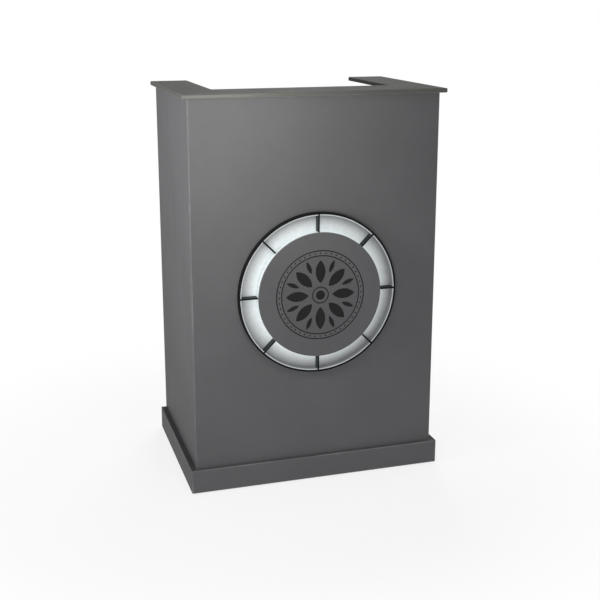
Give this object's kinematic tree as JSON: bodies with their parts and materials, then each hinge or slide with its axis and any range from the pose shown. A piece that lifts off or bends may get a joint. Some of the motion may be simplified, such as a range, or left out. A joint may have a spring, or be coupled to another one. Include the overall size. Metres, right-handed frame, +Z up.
{
  "type": "reception desk",
  "caption": "Tall narrow reception desk: dark lacquered board carcass, U-shaped counter, plinth, round lit feature on the front, worktop, locking drawer and shelf behind.",
  "frame": {"origin": "centre of the desk's outline, at floor level", "axes": "+Z up, -Y towards the customer at the front, +X to the right seen from the front"},
  "size_m": [0.732, 0.514, 1.1],
  "materials": {
    "painted_board": "satin sprayed lacquer on board",
    "drawer_board": "matt lacquered board",
    "core_board": "bare fibreboard",
    "beech": "fluted beech",
    "black_enamel": "satin black enamel",
    "bright_pan": "bright brushed sheet",
    "opal_plastic": "translucent opal, lit from inside",
    "dark_inlay": "matt dark inlay",
    "light_strip": "white tape with pale yellow chips",
    "zinc_steel": "zinc plated",
    "chrome": "satin chrome",
    "brass_plug": "nickelled brass",
    "runner_enamel": "cream epoxy coat on steel",
    "white_nylon": "moulded nylon",
    "black_plastic": "fine spark texture",
    "driver_metal": "plain sheet",
    "circuit": "green solder mask",
    "cable_sheath": "matt sheath"
  },
  "bodies": {
    "desk": {"backing_plug": "drawer_board", "backing_screws": "zinc_steel", "bottom_panel": "painted_board", "cabinet_runners": "runner_enamel", "cabinet_screws": "zinc_steel", "cable_grommet": "black_plastic", "cam_bolts": "zinc_steel", "cam_locks": "zinc_steel", "counter_brackets": "zinc_steel", "counter_top": "painted_board", "driver_base": "driver_metal", "driver_board": "circuit", "driver_case": "driver_metal", "emblem_disc": "painted_board", "emblem_inlay": "dark_inlay", "floor_glides": "white_nylon", "front_panel": "painted_board", "hub_core": "core_board", "hub_screws": "zinc_steel", "junction_box": "black_plastic", "lead_clips": "black_plastic", "led_lead": "cable_sheath", "led_strip": "light_strip", "led_tail": "cable_sheath", "left_side_panel": "painted_board", "lock_strike": "zinc_steel", "opal_ring": "opal_plastic", "plinth_front": "painted_board", "plinth_left": "painted_board", "plinth_right": "painted_board", "plinth_screws": "zinc_steel", "power_inlet": "black_plastic", "rear_kick_board": "painted_board", "reflector_pan": "bright_pan", "right_side_panel": "painted_board", "ring_hoop": "black_enamel", "ring_spokes": "black_enamel", "shelf": "painted_board", "shelf_pins": "zinc_steel", "switch_body": "black_plastic", "terminal_block": "white_nylon", "worktop": "painted_board"},
    "drawer": {"drawer_front": "painted_board", "drawer_left_side": "drawer_board", "drawer_right_side": "drawer_board", "drawer_back": "drawer_board", "drawer_bottom": "drawer_board", "drawer_dowels": "beech", "drawer_handle": "chrome", "handle_screws": "zinc_steel", "lock_barrel": "chrome", "lock_nut": "zinc_steel", "drawer_runners": "runner_enamel", "drawer_screws": "zinc_steel"},
    "lock_cylinder": {"lock_plug": "brass_plug", "lock_cam": "zinc_steel"},
    "cabinet_roller_pair": {"cabinet_rollers": "white_nylon"},
    "drawer_roller_pair": {"drawer_rollers": "white_nylon"},
    "switch_paddle": {"switch_rocker": "black_plastic"},
    "cable_cap": {"grommet_cap": "black_plastic"}
  },
  "joints": [
    {"name": "drawer_slide", "type": "slide", "parent": "desk", "child": "drawer", "axis": [0, 1, 0], "range_m": [0, 0.22]},
    {"name": "drawer_lock_turn", "type": "hinge", "parent": "drawer", "child": "lock_cylinder", "pos_m": [0, 0.2025, 0.858], "axis": [0, -1, 0], "range_deg": [0, 90]},
    {"name": "cabinet_roller_spin", "type": "hinge", "parent": "desk", "child": "cabinet_roller_pair", "pos_m": [0, 0.198, 0.8002], "axis": [-1, 0, 0], "range_deg": [0, 1300]},
    {"name": "drawer_roller_spin", "type": "hinge", "parent": "drawer", "child": "drawer_roller_pair", "pos_m": [0, -0.073, 0.8002], "axis": [-1, 0, 0], "range_deg": [0, 1300]},
    {"name": "switch_rock", "type": "hinge", "parent": "desk", "child": "switch_paddle", "pos_m": [-0.32, 0.216, 0.563], "axis": [0, 0, -1], "range_deg": [0, 18]},
    {"name": "grommet_cap_turn", "type": "hinge", "parent": "desk", "child": "cable_cap", "pos_m": [0.248, -0.125, 0.9], "axis": [0, 0, 1], "continuous": true}
  ],
  "couplings": [
    {"joint": "cabinet_roller_spin", "follows": "drawer_slide", "rad_per_m": 103.09},
    {"joint": "drawer_roller_spin", "follows": "drawer_slide", "rad_per_m": 103.09}
  ]
}
